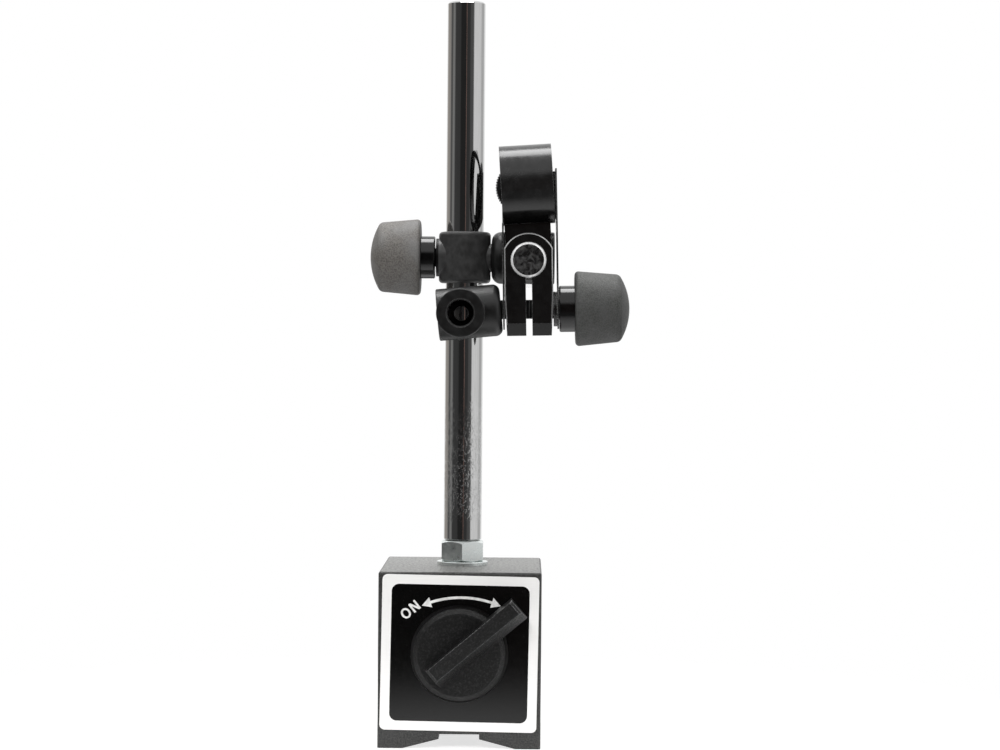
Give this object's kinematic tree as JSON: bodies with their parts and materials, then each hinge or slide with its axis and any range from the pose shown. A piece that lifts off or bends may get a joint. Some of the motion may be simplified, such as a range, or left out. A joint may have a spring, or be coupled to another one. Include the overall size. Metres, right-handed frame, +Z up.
{
  "type": "magnetic indicator stand",
  "caption": "Stand for a dial indicator: switchable magnetic base, upright round pole, sliding swivel clamp, cross rod and a fine-adjust holder with a clamped stem sleeve.",
  "frame": {"origin": "on the pole's axis, in the plane the two feet stand on, in the middle of the vee groove", "axes": "+Z up along the pole, -Y out of the label side with the switch, +X to the right of the label"},
  "size_m": [0.0814, 0.1677, 0.2317],
  "materials": {
    "base_paint": "hammered satin paint",
    "bearing_alloy": "turned",
    "label_metal": "brushed, with a black printed field",
    "ferrite": "sintered",
    "soft_steel": "machined",
    "switch_plastic": "fine spark texture",
    "chrome": "polished",
    "zinc": "zinc plated",
    "black_steel": "black oxide and oil, satin",
    "spring_black": "black, semi-gloss",
    "wheel_black": "black, knurled",
    "brass": "turned",
    "shank_gloss": "gloss",
    "grip_rubber": "fine textured soft grip"
  },
  "bodies": {
    "base": {"left_pole_block": "base_paint", "right_pole_block": "base_paint", "top_spacer": "base_paint", "bottom_spacer": "base_paint", "cross_pins": "soft_steel", "front_bearing": "bearing_alloy", "rear_bearing": "bearing_alloy", "stop_pin": "soft_steel", "label_plate": "label_metal", "pole_washer": "zinc", "pole_nut": "zinc"},
    "rotor": {"magnet_core": "ferrite", "upper_segment": "soft_steel", "lower_segment": "soft_steel", "front_hub": "bearing_alloy", "rear_hub": "bearing_alloy", "retaining_ring": "soft_steel", "switch_knob": "switch_plastic"},
    "pole": {"pole": "chrome"},
    "pole_clamp": {"pole_collar": "black_steel", "pole_pad": "brass", "thrust_pin": "soft_steel"},
    "pole_knob": {"pole_knob_core": "shank_gloss", "pole_knob_grip": "grip_rubber", "pole_knob_screw": "soft_steel"},
    "rod_sleeve": {"rod_sleeve": "black_steel", "swivel_pin": "soft_steel"},
    "sub_rod": {"sub_rod": "chrome"},
    "holder": {"holder_clamp": "black_steel", "bow_spring": "spring_black", "bow_foot": "black_steel", "bow_screw": "soft_steel", "holder_washer": "soft_steel"},
    "fine_wheel": {"fine_wheel": "wheel_black", "fine_screw": "soft_steel", "fine_clip": "soft_steel"},
    "fine_bracket": {"fine_bracket": "spring_black", "fine_nut": "brass"},
    "stem_sleeve": {"stem_sleeve": "black_steel", "stem_bolt": "soft_steel"},
    "holder_knob": {"holder_knob_core": "shank_gloss", "holder_knob_grip": "grip_rubber"}
  },
  "joints": [
    {"name": "magnet_turn", "type": "hinge", "parent": "base", "child": "rotor", "pos_m": [0, -0.0308, 0.0292], "axis": [0, -1, 0], "range_deg": [0, 90]},
    {"name": "pole_turn", "type": "hinge", "parent": "base", "child": "pole", "pos_m": [0, 0, 0.0618], "axis": [0, 0, 1], "continuous": true},
    {"name": "clamp_slide", "type": "slide", "parent": "pole", "child": "pole_clamp", "axis": [0, 0, 1], "range_m": [-0.05, 0.07]},
    {"name": "pole_knob_turn", "type": "hinge", "parent": "pole_clamp", "child": "pole_knob", "pos_m": [-0.0139, 0, 0.15115], "axis": [-1, 0, 0], "range_deg": [-90, 720]},
    {"name": "rod_swivel", "type": "hinge", "parent": "pole_clamp", "child": "rod_sleeve", "pos_m": [0.0105, 0, 0.15115], "axis": [-1, 0, 0], "range_deg": [-6, 60]},
    {"name": "rod_slide", "type": "slide", "parent": "rod_sleeve", "child": "sub_rod", "axis": [0, -1, 0], "range_m": [0, 0.1]},
    {"name": "holder_turn", "type": "hinge", "parent": "sub_rod", "child": "holder", "pos_m": [0.02015, -0.0166, 0.14995], "axis": [0, -1, 0], "range_deg": [-24, 3.5]},
    {"name": "fine_wheel_turn", "type": "hinge", "parent": "holder", "child": "fine_wheel", "pos_m": [0.01818, 0.0022, 0.17353], "axis": [0, -1, 0], "range_deg": [-360, 360]},
    {"name": "fine_tilt", "type": "hinge", "parent": "holder", "child": "fine_bracket", "pos_m": [0.02047, -0.0166, 0.13475], "axis": [0.9998, 0, 0.0209], "range_deg": [-1.05, 1.05]},
    {"name": "stem_swivel", "type": "hinge", "parent": "fine_bracket", "child": "stem_sleeve", "pos_m": [0.02047, -0.0166, 0.13475], "axis": [0.9998, 0, 0.0209], "range_deg": [-90, 90]},
    {"name": "holder_knob_turn", "type": "hinge", "parent": "stem_sleeve", "child": "holder_knob", "pos_m": [0.03467, -0.0166, 0.13505], "axis": [0.9998, 0, 0.0209], "range_deg": [-90, 720]}
  ],
  "couplings": [
    {"joint": "fine_tilt", "follows": "fine_wheel_turn", "ratio": 0.00287}
  ]
}
